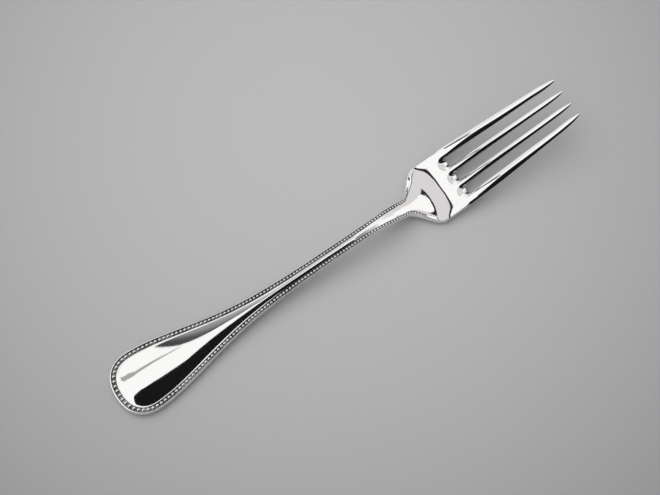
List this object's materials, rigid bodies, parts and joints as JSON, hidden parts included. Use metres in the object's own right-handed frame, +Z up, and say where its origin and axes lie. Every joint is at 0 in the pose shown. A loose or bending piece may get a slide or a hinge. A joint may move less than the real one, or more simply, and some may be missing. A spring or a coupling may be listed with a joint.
{
  "type": "dessert fork",
  "caption": "Polished silver dessert fork with a round-ended handle, a graded bead border, a slim neck, a shallow palm and slender tines.",
  "frame": {"origin": "on the table, under the middle of the fork's length and width", "axes": "+X from the round end of the handle to the points of the tines, +Y to the left, +Z up out of the face"},
  "size_m": [0.1701, 0.021, 0.0133],
  "materials": {
    "silver_plate": "mirror-polished silver plate with fine handling scratches",
    "bead_silver": "polished silver beads, darker in the hollows between them"
  },
  "bodies": {
    "root": {"handle": "silver_plate", "bead_border": "bead_silver", "neck": "silver_plate", "palm": "silver_plate", "left_outer_tine": "silver_plate", "left_inner_tine": "silver_plate", "right_inner_tine": "silver_plate", "right_outer_tine": "silver_plate"}
  },
  "joints": []
}
